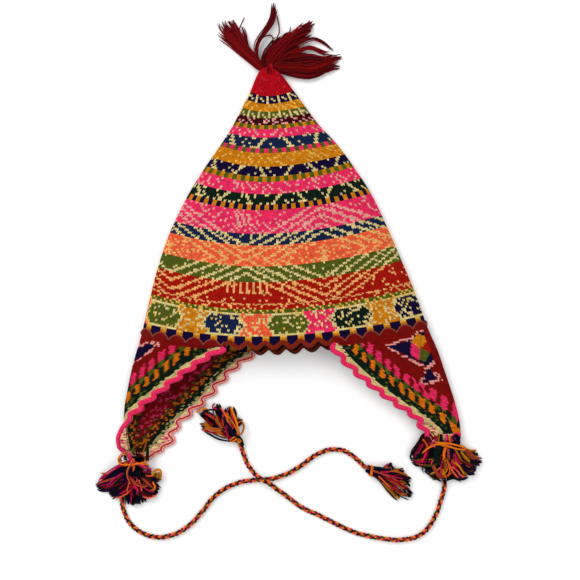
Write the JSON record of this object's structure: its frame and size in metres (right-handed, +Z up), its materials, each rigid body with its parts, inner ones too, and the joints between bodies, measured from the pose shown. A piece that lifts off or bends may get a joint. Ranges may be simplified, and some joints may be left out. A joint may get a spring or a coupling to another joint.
{
  "type": "chullo hat",
  "caption": "Pointed knitted earflap hat with coloured bands, wavy edging, yarn tassels and braided ties, lying flat on its back",
  "frame": {"origin": "on the surface that the hat lies on, below the middle of the hat with its flaps and tassels", "axes": "+Z up from the surface, out of the hat's front; +Y from the brim towards the point of the crown; +X to the right in the front view"},
  "size_m": [0.377, 0.5274, 0.0352],
  "materials": {
    "banded_knit": "fine wool knit in many coloured bands, fuzzy and matt",
    "rust_edging": "rust wool, wavy knitted edging",
    "flap_knit": "deep red wool knit with dark green, gold and pink figures",
    "pink_edging": "pink and cream wool, scalloped knitted edging",
    "red_yarn": "loose dark red wool strands",
    "mixed_yarn": "loose wool strands in navy, magenta, orange, green and coral",
    "orange_yarn": "orange wool wound round a tassel's neck",
    "braided_yarn": "round braid of coral, magenta, black, olive and orange wool"
  },
  "bodies": {
    "root": {"crown": "banded_knit", "brim_edging": "rust_edging", "ear_flap_left": "flap_knit", "ear_flap_right": "flap_knit", "flap_edging_left": "pink_edging", "flap_edging_right": "pink_edging", "top_tassel": "red_yarn", "flap_tassel_left": "mixed_yarn", "flap_tassel_right": "mixed_yarn", "flap_tassel_wrap_left": "orange_yarn", "flap_tassel_wrap_right": "orange_yarn", "tie_cord_left": "braided_yarn", "tie_cord_right": "braided_yarn", "cord_tassel_left": "mixed_yarn", "cord_tassel_right": "mixed_yarn", "cord_tassel_wrap_left": "orange_yarn", "cord_tassel_wrap_right": "orange_yarn"}
  },
  "joints": []
}
